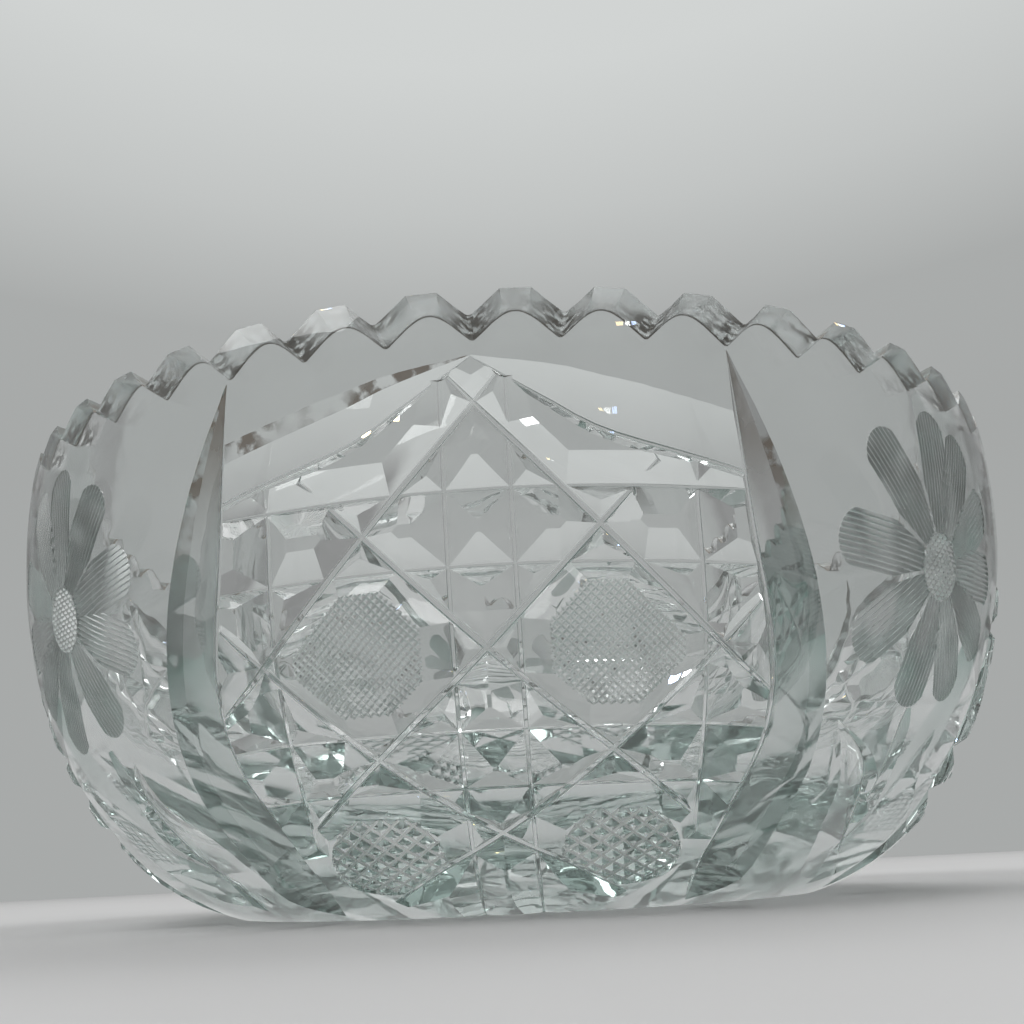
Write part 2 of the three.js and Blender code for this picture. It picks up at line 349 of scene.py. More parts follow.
# The grinding wheel, as it cuts along a line
wheel = {
    "step": 3.2,
    "rise": 0.5,  # how far the cutter goes on above the wall
    "crown": 1.0,  # how much higher its middle stands
    "taper": 0.12,  # share of the way over which an end gets deeper
    "leastDepth": 0.06,
    "soilFrom": 0.66,  # share of a cut's wall, from its root, where dirt begins
}


clear = (polished, polished)  # finishes of a cut's wall, near its root and near its edge


# A wheel-cut V along a smooth line on the wall. At a share of the way, sides gives the depth, how
# far the cut reaches to the left and to the right, as seen along the line from outside, and the
# scale of the root. root is its width and that of the ground seams beside it, and walls the
# finishes of the left and of the right wall.
def vCut(group, knots, turn, sides, root, mark, walls=(clear, clear)):
    width, seam = root
    line, shares = smoothLine(knots, wheel["step"])
    ahead = np.gradient(line, axis=0)
    ahead /= np.hypot(ahead[:, 0], ahead[:, 1])[:, None]
    rings = []
    for (u, s), (du, ds), share in zip(line, ahead, shares):
        depth, left, right, scale = sides(share)
        place, normal = wallPlace(u, s, turn)
        bottom = place - normal * depth
        rightEdge = wallPlace(u - ds * right, s + du * right, turn)[0]
        leftEdge = wallPlace(u + ds * left, s - du * left, turn)[0]
        across = rightEdge - leftEdge
        across -= normal * (across @ normal)
        across *= width * scale / 2 / np.linalg.norm(across)
        narrow = across * (1 - 2 * seam / width)
        lift = normal * seam * scale
        leftSeam, rightSeam = bottom - across + lift, bottom + across + lift
        grown = wheel["rise"] / depth
        rings.append([
            bottom - narrow,
            bottom + narrow,
            rightSeam,
            rightSeam + (rightEdge - rightSeam) * wheel["soilFrom"],
            rightEdge + (rightEdge - rightSeam) * grown,
            place + normal * (wheel["rise"] + wheel["crown"]),
            leftEdge + (leftEdge - leftSeam) * grown,
            leftSeam + (leftEdge - leftSeam) * wheel["soilFrom"],
            leftSeam,
        ])
    left, right = walls
    group.loft(rings, [
        (mark, polished), (mark + 1, edge),
        (mark + 2, right[0]), (mark + 2, right[1]), (mark + 3, polished),
        (mark + 3, polished), (mark + 4, left[1]), (mark + 4, left[0]),
        (mark + 5, edge),
    ], mark + 6)


# An even V whose ends are cut less deep: start and end are the shares of the depth there
def tapered(depth, left, right, start, end):
    def sides(share):
        first = start + (1 - start) * share / wheel["taper"]
        last = end + (1 - end) * (1 - share) / wheel["taper"]
        scale = min(1, first, last)
        return depth * scale, left * scale, right * scale, scale
    return sides


def ease(share):
    return math.sin(math.pi / 2 * min(1, max(0, share)))


# One steep side and one broad bevel, which is on the left with bevelLeft. growth is the share of
# the way over which the cut swells from a thin tip, and fade that over which it runs out at the foot.
def bevelled(cut, bevelLeft):
    def sides(share):
        swell = ease(share / cut["growth"])
        swell *= ease((1 - share) / cut["fade"]) if cut["fade"] else 1
        deep = max(wheel["leastDepth"], cut["depth"] * swell)
        wide = cut["bevel"] * deep / cut["depth"]
        scale = deep / cut["depth"]
        return (deep, wide, deep, scale) if bevelLeft else (deep, deep, wide, scale)
    return sides


lattice = {
    "panels": 4,
    "top": 16.6,
    "foot": 7.0,
    "rows": 5,
    "rowSwell": 0.157,
    "pitch": 16.6,
    "depth": 2.4,
    "halfWidth": 4.3,
    "upperBandHalf": 5.2,
    "lowerBandHalf": 4.6,
    "lowerBandDrop": 0.9,
    "buttonSide": 2.6,  # half width of the second level cut towards the buttons
    "levelEnd": 0.5,
    "levelRoot": (0.45, 0.05),
    "innerColumn": 4.6,
    "outerColumn": 30.8,
    "outerColumnFoot": 28.4,
    "outerColumnEnd": 0.6,
    "columnStart": 0.5,
    "columnRoot": (0.6, 0.08),
    "runOff": 4.0,
    "runOffDepth": 1.2,
    "slantDepth": 2.65,
    "slantHalfWidth": 3.6,
    "slantEnd": 0.4,
    "slantRoot": (0.9, 0.16),
    "slants": [  # as columns and rows, each of them mirrored too
        [(-1.5, 0.5), (-1, 1), (0, 2), (1, 3), (1.75, 3.8)],
        [(-0.2, -0.2), (0, 0), (1, 1), (2, 2), (2.45, 2.42)],
        [(-2.35, 1.6), (-2, 2), (-1, 3), (0, 4), (1, 5)],
    ],
}

frameCut = {
    "top": 9.0,
    "foot": 3.0,
    "halfTop": 36.4,
    "halfBelly": 42.1,
    "halfFoot": 27.5,
    "shoulderRow": 0.8,
    "bellyRow": 2,
    "inwards": [(0.1, 2.85), (0.5, 3.75)],  # shares of the way in from belly to foot, and their rows
    "depth": 3.0,
    "bevel": 7.0,
    "growth": 0.38,
    "fade": 0.13,
    "root": (0.6, 0.14),
}

arcCut = {
    "top": 10.6,
    "drop": 15.7,
    "shape": [(0.25, 0.38), (0.5, 0.7)],  # shares of the way across, and of the drop
    "depth": 2.1,
    "bevel": 7.4,
    "growth": 0.6,
    "fade": 0,
    "root": (0.6, 0.14),
}


def rowPlace(row):
    share = row / lattice["rows"]
    span = wallLength - lattice["foot"] - lattice["top"]
    return lattice["top"] + span * (share + lattice["rowSwell"] * share * (1 - share))


def crossing(column, row):
    return column * lattice["pitch"], rowPlace(row)


def frameKnots():
    f = frameCut
    knots = [
        (f["halfTop"], f["top"]),
        ((f["halfTop"] + f["halfBelly"]) / 2, rowPlace(f["shoulderRow"])),
        (f["halfBelly"], rowPlace(f["bellyRow"])),
    ]
    for share, row in f["inwards"]:
        knots.append((f["halfBelly"] + (f["halfFoot"] - f["halfBelly"]) * share, rowPlace(row)))
    return knots + [(f["halfFoot"], wallLength - f["foot"])]


def arcKnots():
    foot = arcCut["top"] + arcCut["drop"]
    end = reachAlong(frameKnots(), 1, foot)
    between = [(end * over, arcCut["top"] + arcCut["drop"] * down) for over, down in arcCut["shape"]]
    return [(0, arcCut["top"])] + between + [(end, foot)]


panelTurns = [2 * math.pi * i / lattice["panels"] for i in range(lattice["panels"])]
flowerTurns = [turn + math.pi / lattice["panels"] for turn in panelTurns]


# The frames' bevels lie on the side away from the panel, and are worn and dirty, with a painted dark
# reflection that grows towards the rim
def cutFrame(group, turn, hand):
    wornAndPaintedDark = (broad, soiled)
    walls = (wornAndPaintedDark, clear) if hand > 0 else (clear, wornAndPaintedDark)
    knots = mirrored(frameKnots(), hand)
    vCut(group, knots, turn, bevelled(frameCut, hand > 0), frameCut["root"], firstMark["frames"], walls)


# The arcs' bevels lie towards the rim, and only the left one is dirty
def cutArc(group, turn, hand):
    walls = (clear, clear) if hand > 0 else (clear, (polished, soiled))
    knots = mirrored(arcKnots(), hand)
    vCut(group, knots, turn, bevelled(arcCut, hand > 0), arcCut["root"], firstMark["arcs"], walls)


def cutColumns(innerGroup, outerGroup, turn, hand):
    v = lattice
    even = (v["depth"], v["halfWidth"], v["halfWidth"])
    inner = [
        (v["innerColumn"], reachAlong(arcKnots(), 0, v["innerColumn"])),
        (v["innerColumn"], wallLength + v["runOff"]),
    ]
    sides = tapered(*even, v["columnStart"], v["runOffDepth"] / v["depth"])
    vCut(innerGroup, mirrored(inner, hand), turn, sides, v["columnRoot"], firstMark["innerColumns"])
    outer = [
        (v["outerColumn"], reachAlong(arcKnots(), 0, v["outerColumn"])),
        (v["outerColumn"], rowPlace(2)),
        (v["outerColumnFoot"], rowPlace(4)),
    ]
    sides = tapered(*even, v["columnStart"], v["outerColumnEnd"])
    vCut(outerGroup, mirrored(outer, hand), turn, sides, v["columnRoot"], firstMark["outerColumns"])


def cutSlants(group, turn, hand):
    v = lattice
    sides = tapered(v["slantDepth"], v["slantHalfWidth"], v["slantHalfWidth"], v["slantEnd"], v["slantEnd"])
    for line in v["slants"]:
        knots = mirrored([crossing(*spot) for spot in line], hand)
        vCut(group, knots, turn, sides, v["slantRoot"], firstMark["slants"])


# Two bands of level cuts, one above and one below the middle of each
def cutLevels(groups, turn):
    v = lattice
    wide = v["halfWidth"]
    upper = rowPlace(1)
    lower = rowPlace(3) + v["lowerBandDrop"]
    levels = [
        ("levelsAbove", "upperLevels", upper - v["upperBandHalf"], wide),
        ("levelsBelow", "upperLevels", upper + v["upperBandHalf"], v["buttonSide"]),
        ("levelsAbove", "lowerLevels", lower - v["lowerBandHalf"], wide),
        ("levelsBelow", "lowerLevels", lower + v["lowerBandHalf"], wide),
    ]
    for name, band, s, below in levels:
        half = reachAlong(frameKnots(), 1, s)
        sides = tapered(v["depth"], wide, below, v["levelEnd"], v["levelEnd"])
        vCut(groups[name], [(-half, s), (half, s)], turn, sides, v["levelRoot"], firstMark[band])


# Cuts that cross or meet are in different groups, as the solids of one group must not overlap
def latticeCutters():
    groups = {name: Solids() for name in (
        "frames", "arcLeft", "arcRight", "innerLeft", "innerRight", "outer",
        "levelsBelow", "levelsAbove", "slantLeft", "slantRight",
    )}
    for turn in panelTurns:
        for hand, side in ((-1, "Left"), (1, "Right")):
            cutFrame(groups["frames"], turn, hand)
            cutArc(groups["arc" + side], turn, hand)
            cutColumns(groups["inner" + side], groups["outer"], turn, hand)
            cutSlants(groups["slant" + side], turn, hand)
        cutLevels(groups, turn)
    return groups


# The teeth are flat-topped and sharp outside, and inside the bowl they round into an even wave
rim = {
    "teeth": 48,
    "depth": 4.3,
    "width": 8.9,
    "rootWidth": 1.0,
    "rootFlat": 0.4,  # share of the root's width that is level
    "rootRound": 0.2,
    "tilt": 4.4,
    "overrun": 5.4,
    "rise": 0.8,
    "overlap": 0.02,
    "skim": 0.04,
    "waveStart": (2.1, -2.5),
    "waveCrest": -0.1,
    "rounding": [(0, 0), (0.35, 0.2), (0.7, 0.6), (1, 1)],  # share of the way in, and of the wave
    "steps": 4,
}


# Half of a notch's section at a radius, sideways and up from the rim's plane. share is 0 where it is
# angular and 1 where it is a wave.
def notchHalf(radius, share):
    half = rim["width"] / 2
    root = rim["rootWidth"] / 2
    deep = -rim["depth"]
    crest = math.tan(math.pi / rim["teeth"]) * radius + rim["overlap"]
    sideShare = -rim["waveStart"][1] / rim["depth"]
    sideStart = half + (root - half) * sideShare
    lift = np.linspace(0, 1, rim["steps"] + 1)
    rising = [(sideStart + (half - sideStart) * t, deep * sideShare * (1 - t)) for t in lift]
    level = [(half + (crest - half) * t, 0) for t in lift[1:]]
    angular = np.array(rising + level)
    rounded = bezier([rim["waveStart"], (half, 0), (crest, rim["waveCrest"])], 2 * rim["steps"] + 1)
    wall = angular * (1 - share) + rounded * share
    foot = [(root * rim["rootFlat"], deep), (root, deep + rim["rootRound"])]
    return foot + [(x, y - rim["skim"]) for x, y in wall] + [(crest, rim["rise"])]


def rimCutters():
    groups = {"rimEven": Solids(), "rimOdd": Solids()}
    slope = math.tan(math.radians(rim["tilt"]))
    stations = [(rim["overrun"], 0)]
    stations += [(-blank["rimWall"] * inward, share) for inward, share in rim["rounding"]]
    stations += [(-blank["rimWall"] - rim["overrun"], 1)]
    for i in range(rim["teeth"]):
        angle = 2 * math.pi * i / rim["teeth"]
        out, side = outward(angle), sideways(angle)
        rings = []
        for beyond, share in stations:
            radius = blank["rimRadius"] + beyond
            profile = notchHalf(radius, share)
            whole = profile + [(-x, y) for x, y in reversed(profile)]
            middle = out * radius + np.array([0, 0, blank["height"] + beyond * slope])
            rings.append([middle + side * x + np.array([0, 0, y]) for x, y in whole])
        sides = [(firstMark["notches"] + i % 2, ground)] * len(whole)
        groups["rimOdd" if i % 2 else "rimEven"].loft(rings, sides, firstMark["notchEnds"])
    return groups


star = {
    "rays": 24,
    "inner": 6.0,
    "outer": 44.0,
    "depth": 1.4,
    "halfWidth": 3.4,
    "widest": 0.55,  # share of the way out
    "tipDepth": 0.06,
    "rise": 0.1,  # how far the cutter goes on below the base
}


def starCutters():
    groups = {"starEven": Solids(), "starOdd": Solids()}
    rise = star["rise"]
    middle = star["inner"] + (star["outer"] - star["inner"]) * star["widest"]
    stops = [(star["inner"], star["tipDepth"]), (middle, star["depth"]), (star["outer"], star["tipDepth"])]
    sides = [(firstMark["starRays"] + k, polished) for k in range(3)]
    for i in range(star["rays"]):
        angle = 2 * math.pi * (i + 0.5) / star["rays"]
        out, side = outward(angle), sideways(angle)
        rings = []
        for radius, depth in stops:
            half = star["halfWidth"] * (depth + rise) / star["depth"]
            foot = out * radius
            rings.append([
                foot + np.array([0, 0, depth]),
                foot + side * half - np.array([0, 0, rise]),
                foot - side * half - np.array([0, 0, rise]),
            ])
        groups["starOdd" if i % 2 else "starEven"].loft(rings, sides, firstMark["starEnds"])
    return groups


# Long leaves below the flowers, as degrees round the bowl and shares of the way from top to foot
leaves = {
    "top": 60.5,
    "root": (0.5, 0.12),
    "leafRight": {
        "depth": 1.8,
        "bevel": 13.0,
        "growth": 0.6,
        "fade": 0.25,
        "way": [(5.5, 0), (3, 0.18), (2.6, 0.4), (5, 0.85)],
    },
    "leafLeft": {
        "depth": 1.8,
        "bevel": 9.0,
        "growth": 0.6,
        "fade": 0.25,
        "way": [(-11.5, 0), (-5, 0.16), (-1.5, 0.33), (3, 0.58), (10, 0.78)],
    },
}

# Stalks of the engraved flowers, as degrees round the bowl and mm down the wall
stems = {
    "right": [(-1.5, 57.8), (-0.5, 74.4), (1.3, 81.8)],
    "left": [(1.9, 57.8), (3.8, 74.4), (5.4, 84.5)],
    "depth": 0.8,
    "halfWidth": 1.7,
    "start": 0.4,
    "end": 0.3,
    "root": (0.3, 0.06),
}


def byDegrees(way):
    return [(math.radians(degrees) * wallAt(s)[0], s) for degrees, s in way]


def leafCutters():
    groups = {"leafRight": Solids(), "leafLeft": Solids()}
    span = wallLength - leaves["top"]
    for turn in flowerTurns:
        for name, group in groups.items():
            leaf = leaves[name]
            way = [(degrees, leaves["top"] + span * share) for degrees, share in leaf["way"]]
            sides = bevelled(leaf, name == "leafRight")
            vCut(group, byDegrees(way), turn, sides, leaves["root"], firstMark[name])
    return groups


def stemCutters():
    group = Solids()
    sides = tapered(stems["depth"], stems["halfWidth"], stems["halfWidth"], stems["start"], stems["end"])
    for i, turn in enumerate(flowerTurns):
        way = stems["left" if i % 2 else "right"]
        vCut(group, byDegrees(way), turn, sides, stems["root"], firstMark["stems"])
    return {"stems": group}


# Fine work in parallel grooves, cut side by side
fine = {"step": 5.0, "rise": 1.0}


# Grooves round a centre on the wall. They run at an angle, clockwise from straight up, and extent
# gives where the groove at v, mm to their side, starts and ends. lines has their pitch and depth and
# the depth of the land between them, which is left uncut where that is below 0.
def comb(group, turn, centre, angle, lines, extent, mark, finish):
    a = math.radians(angle)
    along = np.array([math.sin(a), -math.cos(a)])
    across = np.array([math.cos(a), math.sin(a)])
    count = 2 * round(lines["halfWidth"] / lines["pitch"]) * 2 + 1
    offsets = (np.arange(count) - count // 2) * lines["pitch"] / 2
    spans = [extent(v) for v in offsets]
    columns = max(2, math.ceil(max(end - start for start, end in spans) / fine["step"])) + 1
    floor, roof = [], []
    for i, (v, (start, end)) in enumerate(zip(offsets, spans)):
        for w in np.linspace(start, end, columns):
            u, s = np.array(centre) + across * v + along * w
            place, normal = wallPlace(u, s, turn)
            floor.append(place - normal * lines["depth" if i % 2 else "land"])
            roof.append(place + normal * fine["rise"])
    size = count * columns
    faces, marks = [], []
    for i in range(count - 1):
        for k in range(columns - 1):
            p = i * columns + k
            q = p + columns
            faces += [(p, p + 1, q + 1, q), (size + p, size + q, size + q + 1, size + p + 1)]
            marks += [mark + i % 2, mark + 2]
    last, end = (count - 1) * columns, columns - 1
    border = [(i * columns, (i + 1) * columns) for i in range(count - 1)]
    border += [(last + k, last + k + 1) for k in range(columns - 1)]
    border += [(i * columns + end, (i - 1) * columns + end) for i in range(count - 1, 0, -1)]
    border += [(k, k - 1) for k in range(columns - 1, 0, -1)]
    for p, q in border:
        faces.append((p, q, size + q, size + p))
        marks.append(mark + 3)
    group.add(floor + roof, faces, marks, [finish] * len(faces))


def roundExtent(radius):
    def extent(v):
        half = max(0.05, math.sqrt(max(0, 1 - (v / radius) ** 2)) * radius)  # never quite nothing
        return -half, half
    return extent


# The right half's buttons. The lower ones are cut with deep clear lines, and then again along the
# roots of these with narrow rough ones, which show as pale seams.
buttons = {
    "upper": {"centre": (17.9, 49.9), "halfWidth": 9.9, "pitch": 0.85, "land": -0.2, "depth": 0.26},
    "lower": {"centre": (17.0, 82.3), "halfWidth": 8.6, "pitch": 2.25, "land": -0.1, "depth": 0.62},
}
buttons["seams"] = {**buttons["lower"], "land": -0.49, "depth": 0.72}


def buttonCutters():
    groups = {name: Solids() for name in ("hatchFalling", "hatchRising", "seamFalling", "seamRising")}
    kinds = (("upper", "hatch", hatched), ("lower", "hatch", polished), ("seams", "seam", coarse))
    for turn in panelTurns:
        for hand in (-1, 1):
            for way, angle in (("Falling", 45), ("Rising", -45)):
                for name, group, finish in kinds:
                    lines = buttons[name]
                    u, s = lines["centre"]
                    extent = roundExtent(lines["halfWidth"])
                    mark = firstMark[name + way]
                    comb(groups[group + way], turn, (hand * u, s), angle, lines, extent, mark, finish)
    return groups


flower = {
    "centre": 35.5,  # down the wall
    "disc": {"halfWidth": 5.25, "pitch": 1.05, "land": -0.16, "depth": 0.36},
    "petal": {"halfWidth": 4.7, "pitch": 0.86, "land": -0.045, "depth": 0.38},
    "petalTip": 21.8,  # from the centre
    "petalMore": 3.6,  # how much longer the petals are on the long side
    "longSide": -45.0,
    "petalSpread": 18.0,
    "shortest": 0.5,  # least length of a groove in a petal
    "rightPetals": [-5, 20, 53, 86, 119, 157, 191, 233, 274, 315],  # clockwise from straight up
    "leftPetals": [-22, 5.5, 41.7, 79, 115, 156, 203, 241, 268, 299],
}


# A petal widens from the disc and has a round tip
def petalExtent(angle):
    half = flower["petal"]["halfWidth"]
    slope = math.tan(math.radians(flower["petalSpread"]))
    longer = (1 + math.cos(math.radians(angle - flower["longSide"]))) / 2
    tip = flower["petalTip"] + flower["petalMore"] * longer

    def extent(v):
        end = tip - (half - math.sqrt(max(0, half**2 - v**2)))
        start = max(flower["disc"]["halfWidth"], abs(v) / slope)
        return min(start, end - flower["shortest"]), end
    return extent


def flowerCutters():
    groups = {name: Solids() for name in ("petalsEven", "petalsOdd", "discFalling", "discRising")}
    centre = (0, flower["centre"])
    disc = flower["disc"]
    for i, turn in enumerate(flowerTurns):
        angles = flower["leftPetals" if i % 2 else "rightPetals"]
        for k, angle in enumerate(angles):
            name = "petalsOdd" if k % 2 else "petalsEven"
            extent = petalExtent(angle)
            comb(groups[name], turn, centre, angle, flower["petal"], extent, firstMark[name], satin)
        for name, angle in (("discFalling", 45), ("discRising", -45)):
            extent = roundExtent(disc["halfWidth"])
            comb(groups[name], turn, centre, angle, disc, extent, firstMark[name], hatched)
    return groups


# Slivers of glass that two cuts leave between them fall off
def dropCrumbs(mesh, fewest=400):
    shape = bmesh.new()
    shape.from_mesh(mesh)
    left = set(shape.verts)
    crumbs = []
    while left:
        front = [left.pop()]
        island = list(front)
        while front:
            near = {link.other_vert(corner) for corner in front for link in corner.link_edges} & left
            left -= near
            front = list(near)
            island += front
        if len(island) < fewest:
            crumbs += island
    bmesh.ops.delete(shape, geom=crumbs, context="VERTS")
    shape.to_mesh(mesh)
    shape.free()
    return len(crumbs)


def cutBowl():
    corners, faces, marks = blankMesh()
    whole = Solids()
    whole.add(corners, faces, marks, [ground if mark == firstMark["rim"] else polished for mark in marks])
    bowl = bpy.data.objects.new("crystalBowl", whole.mesh("crystalBowl"))
    bpy.context.scene.collection.objects.link(bowl)
    cutters = []
    families = (
        rimCutters, starCutters, latticeCutters, leafCutters, stemCutters, buttonCutters, flowerCutters,
    )
    for family in families:
        for name, group in family().items():
            cutter = bpy.data.objects.new(name, group.mesh(name))
            bpy.context.scene.collection.objects.link(cutter)
            cutters.append(cutter)
            change = bowl.modifiers.new(name, "BOOLEAN")
            change.operation = "DIFFERENCE"
            change.solver = "MANIFOLD"
            change.object = cutter
    evaluated = bowl.evaluated_get(bpy.context.evaluated_depsgraph_get())
    finished = bpy.data.meshes.new_from_object(evaluated)
    bowl.modifiers.clear()
    bowl.data = finished
    print("crumbs dropped:", dropCrumbs(finished), "corners")
    for cutter in cutters:
        bpy.data.objects.remove(cutter)
    return bowl


bowl = cutBowl()
print("bowl cut:", len(bowl.data.polygons), "faces")


# The lathe's true normals at places on the side of the blank that the profile's points describe
def latheNormals(places, points):
    slopes = np.gradient(points, axis=0)
    slopes /= np.hypot(slopes[:, 0], slopes[:, 1])[:, None]
    order = 1 if points[-1, 1] > points[0, 1] else -1
    heights = points[::order, 1]
    dr, dz = (np.interp(places[:, 2], heights, slopes[::order, k]) for k in (0, 1))
    radius = np.maximum(np.hypot(places[:, 0], places[:, 1]), 1e-6)
    return np.column_stack([places[:, 0] / radius * -dz, places[:, 1] / radius * -dz, dr])


def readAll(items, name, kind=float, width=1):
    values = np.zeros(len(items) * width, kind)
    items.foreach_get(name, values)
    return values.reshape(-1, width) if width > 1 else values


# Crisp edges where two cuts meet or at a sharp turn, and true normals on what is left of the blank
def finishNormals(mesh, crisp=22):
    count = len(mesh.polygons)
    marks = readAll(mesh.attributes["mark"].data, "value", int)
    normals = readAll(mesh.polygons, "normal", float, 3)
    owner = np.repeat(np.arange(count), readAll(mesh.polygons, "loop_total", int))
    loopEdges = readAll(mesh.loops, "edge_index", int)
    order = np.argsort(loopEdges, kind="stable")
    pairs = owner[order].reshape(-1, 2)
    turn = np.einsum("ij,ij->i", normals[pairs[:, 0]], normals[pairs[:, 1]])
    parted = marks[pairs[:, 0]] != marks[pairs[:, 1]]
    sharp = np.zeros(len(mesh.edges), bool)
    sharp[loopEdges[order][::2]] = parted | (turn < math.cos(math.radians(crisp)))
    mesh.polygons.foreach_set("use_smooth", np.ones(count, bool))
    mesh.attributes.new("sharp_edge", "BOOLEAN", "EDGE").data.foreach_set("value", sharp)
    places = readAll(mesh.vertices, "co", float, 3)[readAll(mesh.loops, "vertex_index", int)] / mm
    custom = np.zeros((len(mesh.loops), 3))
    for mark, points in ((firstMark["outside"], outerPoints), (firstMark["inside"], innerPoints)):
        chosen = marks[owner] == mark
        custom[chosen] = latheNormals(places[chosen], points)
    mesh.normals_split_custom_set([tuple(n) for n in custom])


finishNormals(bowl.data)
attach(bowl, "root")
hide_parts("bowl")
print("normals set")


# One node socket, for shader maths written as plain expressions
class Value:
    def __init__(self, tree, socket):
        self.tree = tree
        self.socket = socket

    def maths(self, operation, *values):
        return self.tree.maths(operation, *values)

    def __add__(self, other):
        return self.maths("ADD", self, other)

    def __radd__(self, other):
        return self.maths("ADD", other, self)

    def __sub__(self, other):
        return self.maths("SUBTRACT", self, other)

    def __rsub__(self, other):
        return self.maths("SUBTRACT", other, self)

    def __mul__(self, other):
        return self.maths("MULTIPLY", self, other)

    def __rmul__(self, other):
        return self.maths("MULTIPLY", other, self)

    def __pow__(self, other):
        return self.maths("POWER", self, other)

    def __rpow__(self, other):
        return self.maths("POWER", other, self)


# The nodes of one material or world
class Tree:
    def __init__(self, owner):
        owner.use_nodes = True
        self.tree = owner.node_tree
        self.tree.nodes.clear()

    # Adds a node: its type, its settings, the values or links of its sockets, and which output it gives
    def node(self, kind, settings=None, sockets=None, output=0):
        made = self.tree.nodes.new(kind)
        for name, value in (settings or {}).items():
            if name == "stops":
                ramp = made.color_ramp
                while len(ramp.elements) < len(value):
                    ramp.elements.new(1)
                for element, (place, colour) in zip(ramp.elements, value):
                    element.position = place
                    element.color = (*colour, 1)
            else:
                setattr(made, name, value)
        for name, value in (sockets or {}).items():
            if isinstance(value, Value):
                self.tree.links.new(value.socket, made.inputs[name])
            else:
                made.inputs[name].default_value = value
        return Value(self, made.outputs[output] if made.outputs else None)

    def maths(self, operation, *values):
        return self.node("ShaderNodeMath", {"operation": operation}, dict(enumerate(values)))

    # Eases from one value to another between low and high
    def mapRange(self, value, low, high, start=0.0, end=1.0):
        return self.node("ShaderNodeMapRange", {"interpolation_type": "SMOOTHSTEP"}, {
            "Value": value, "From Min": low, "From Max": high, "To Min": start, "To Max": end,
        })

    def noise(self, place, scale, detail):
        return self.node("ShaderNodeTexNoise", None, {"Vector": place, "Scale": scale, "Detail": detail})

    # Noise of a scale and detail, eased between two of its levels
    def patches(self, place, scale, detail, *levels):
        return self.mapRange(self.noise(place, scale, detail), *levels)

    def part(self, vector, axis):
        return self.node("ShaderNodeSeparateXYZ", None, {0: vector}, axis)

    def mixColours(self, share, a, b):
        return self.node("ShaderNodeMix", {"data_type": "RGBA"}, {0: share, 6: a, 7: b}, 2)

    # 1 for rays that come through glass or off a glossy surface
    def viaGlass(self):
        glossy = self.node("ShaderNodeLightPath", None, None, "Is Glossy Ray")
        through = self.node("ShaderNodeLightPath", None, None, "Is Transmission Ray")
        return self.maths("MAXIMUM", glossy, through)


glass = {
    "tint": (0.845, 0.898, 0.884, 1),
    "absorption": 28.0,  # for each metre
    "ior": 1.545,
    "wave": (90.0, 2.0),  # scale and detail
    "waveHeight": 0.00008,  # metres
    "film": (55.0, 5.0, 0.35, 0.65),  # scale, detail, and the noise where it is thinnest and thickest
    "filmColour": (0.56, 0.59, 0.58, 1),
    "filmRoughness": 0.7,
    "filmLeast": 0.04,
    "filmMost": 0.09,
    # The dirt's colour, which also paints shade on the rim's inner edge and a dark reflection on the
    # frames' broad bevels
    "dirtAndShadeColour": (0.135, 0.1, 0.068, 1),
    "dirtRoughness": 0.6,
}


# Clear glass under a thin uneven film, which haze makes thicker, with dirt and painted shade where the mask
# says
def crystal(material, roughness, haze, colour, dirtAndShade):
    t = Tree(material)
    place = t.node("ShaderNodeTexCoord", None, None, "Object")
    wave = t.noise(place, *glass["wave"])
    bump = t.node("ShaderNodeBump", None, {
        "Height": wave, "Distance": glass["waveHeight"], "Strength": 1.0,
    })
    clearGlass = t.node("ShaderNodeBsdfPrincipled", None, {
        "Base Color": (1, 1, 1, 1), "Roughness": roughness, "IOR": glass["ior"], "Transmission Weight": 1.0,
        "Normal": bump,
    })
    film = t.patches(place, *glass["film"], glass["filmLeast"] * haze, glass["filmMost"] * haze)
    dull = t.node("ShaderNodeBsdfPrincipled", None, {
        "Base Color": colour, "Roughness": glass["filmRoughness"],
    })
    surface = t.node("ShaderNodeMixShader", None, {0: film, 1: clearGlass, 2: dull})
    if dirtAndShade:
        # A dark brown layer of dirt, which in places also paints shade
        soilAndShade = t.node("ShaderNodeBsdfPrincipled", None, {
            "Base Color": glass["dirtAndShadeColour"], "Roughness": glass["dirtRoughness"],
        })
        surface = t.node("ShaderNodeMixShader", None, {0: dirtAndShade(t, place), 1: surface, 2: soilAndShade})
    volume = t.node("ShaderNodeVolumeAbsorption", None, {
        "Color": glass["tint"], "Density": glass["absorption"],
    })
    t.node("ShaderNodeOutputMaterial", None, {"Surface": surface, "Volume": volume})


# Dirt in patches: their scale and detail, and the noise at which they begin and are full. lowest
# and full are the heights between which the dirt gets thicker, and likewise the smoke, which is partly a
# painted dark reflection.
rimSoilAndDarkEdge = {
    "specks": (620.0, 4.0, 0.37, 0.54),
    "drifts": (85.0, 1.0, 0.34, 0.48),
    "most": 0.95,
    "cleanFrom": 0.6,  # below the tops of the teeth, where least of it lies
    "least": 0.25,
    # A thin painted dark line of shade round the rim's inner edge: how dark it is, and where it starts and
    # ends
    "line": 0.9,
    "darkEdgeStart": 0.3,  # outward from the inner edge
    "darkEdgeEnd": 0.8,
}

bevelSoil = {
    "specks": (420.0, 5.0, 0.4, 0.56),
    "drifts": (60.0, 2.0, 0.4, 0.52),
    "lowest": 44,
    "full": 62,
    "most": 0.75,
}

# Dark streaks on the frames' broad bevels, most near the rim: partly dirt and partly a painted dark
# reflection of the room
smokeAndDarkReflection = {
    "lowest": 48,
    "full": 74,
    "most": 0.62,
    "drawn": (1.0, 1.0, 0.18),  # stretches the streaks up the wall
    "streaks": (260.0, 4.0, 0.3, 0.6, 0.4, 1.3),
}
